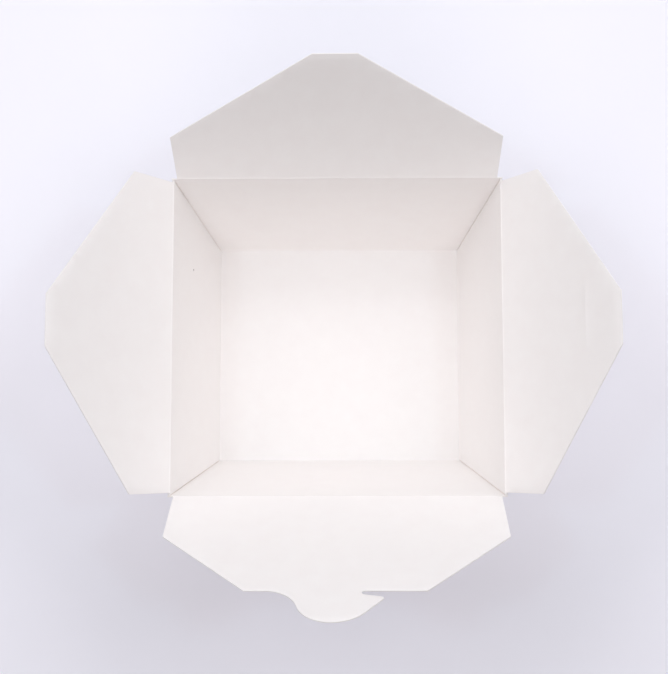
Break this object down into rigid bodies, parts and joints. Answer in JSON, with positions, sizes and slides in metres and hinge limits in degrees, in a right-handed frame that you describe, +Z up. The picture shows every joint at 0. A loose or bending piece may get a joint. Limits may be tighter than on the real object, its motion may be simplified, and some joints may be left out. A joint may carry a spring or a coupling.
{
  "type": "takeout food box",
  "caption": "Flared folded paperboard takeout food box with web corners, open on top, with hinged closing flaps and a hooked locking tongue on the front flap.",
  "frame": {"origin": "centre of the floor's underside, which stands on the table", "axes": "+Z up, -Y towards the front flap with the locking tongue, +X to the right seen from the front"},
  "size_m": [0.197, 0.1932, 0.1314],
  "materials": {
    "coated_board": "satin film-coated white board"
  },
  "bodies": {
    "tray": {"tray": "coated_board"},
    "left_flap": {"left_flap": "coated_board"},
    "right_flap": {"right_flap": "coated_board"},
    "back_flap": {"back_flap": "coated_board"},
    "front_flap": {"front_flap": "coated_board"}
  },
  "joints": [
    {"name": "left_flap_crease", "type": "hinge", "parent": "tray", "child": "left_flap", "pos_m": [-0.062, 0, 0.0644], "axis": [0, 1, 0], "range_deg": [-90.3, 129.7]},
    {"name": "right_flap_crease", "type": "hinge", "parent": "tray", "child": "right_flap", "pos_m": [0.062, 0, 0.0644], "axis": [0, -1, 0], "range_deg": [-92.8, 127.2]},
    {"name": "back_flap_crease", "type": "hinge", "parent": "tray", "child": "back_flap", "pos_m": [0, 0.06, 0.065], "axis": [1, 0, 0], "range_deg": [-95.6, 124.4]},
    {"name": "front_flap_crease", "type": "hinge", "parent": "tray", "child": "front_flap", "pos_m": [0, -0.06, 0.065], "axis": [-1, 0, 0], "range_deg": [-98.7, 120.5]}
  ]
}
